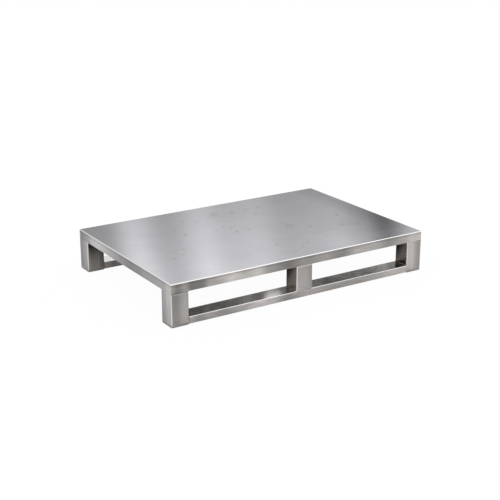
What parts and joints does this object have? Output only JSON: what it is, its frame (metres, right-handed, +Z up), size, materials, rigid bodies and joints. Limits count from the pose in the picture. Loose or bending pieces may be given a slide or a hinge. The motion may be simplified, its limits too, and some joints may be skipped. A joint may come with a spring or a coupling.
{
  "type": "stainless steel pallet",
  "caption": "Low flat pallet with a smooth closed deck, a folded apron all round and runners with fork windows on square legs, open to lifting forks from every side.",
  "frame": {"origin": "on the floor, under the middle of the deck", "axes": "+X along the deck's long side, +Y across it, +Z up"},
  "size_m": [1.2, 0.8, 0.172],
  "materials": {
    "deck_sheet": "fine brushed stainless sheet, grain along the long side",
    "tube": "satin brushed stainless tube",
    "foot_plate": "satin stainless plate with dressed welds",
    "stiffener_sheet": "plain cold-rolled stainless sheet, hidden under the deck"
  },
  "bodies": {
    "root": {"deck_tray": "deck_sheet", "leg_front_left": "tube", "leg_front_middle": "tube", "leg_front_right": "tube", "leg_rear_left": "tube", "leg_rear_middle": "tube", "leg_rear_right": "tube", "bottom_rail_front": "tube", "bottom_rail_rear": "tube", "foot_plate_front_left": "foot_plate", "foot_plate_front_right": "foot_plate", "foot_plate_rear_left": "foot_plate", "foot_plate_rear_right": "foot_plate", "top_beam_front": "stiffener_sheet", "top_beam_rear": "stiffener_sheet", "end_beam_left": "stiffener_sheet", "end_beam_right": "stiffener_sheet", "cross_rib_1": "stiffener_sheet", "cross_rib_2": "stiffener_sheet", "cross_rib_3": "stiffener_sheet", "cross_rib_4": "stiffener_sheet", "cross_rib_5": "stiffener_sheet"}
  },
  "joints": []
}
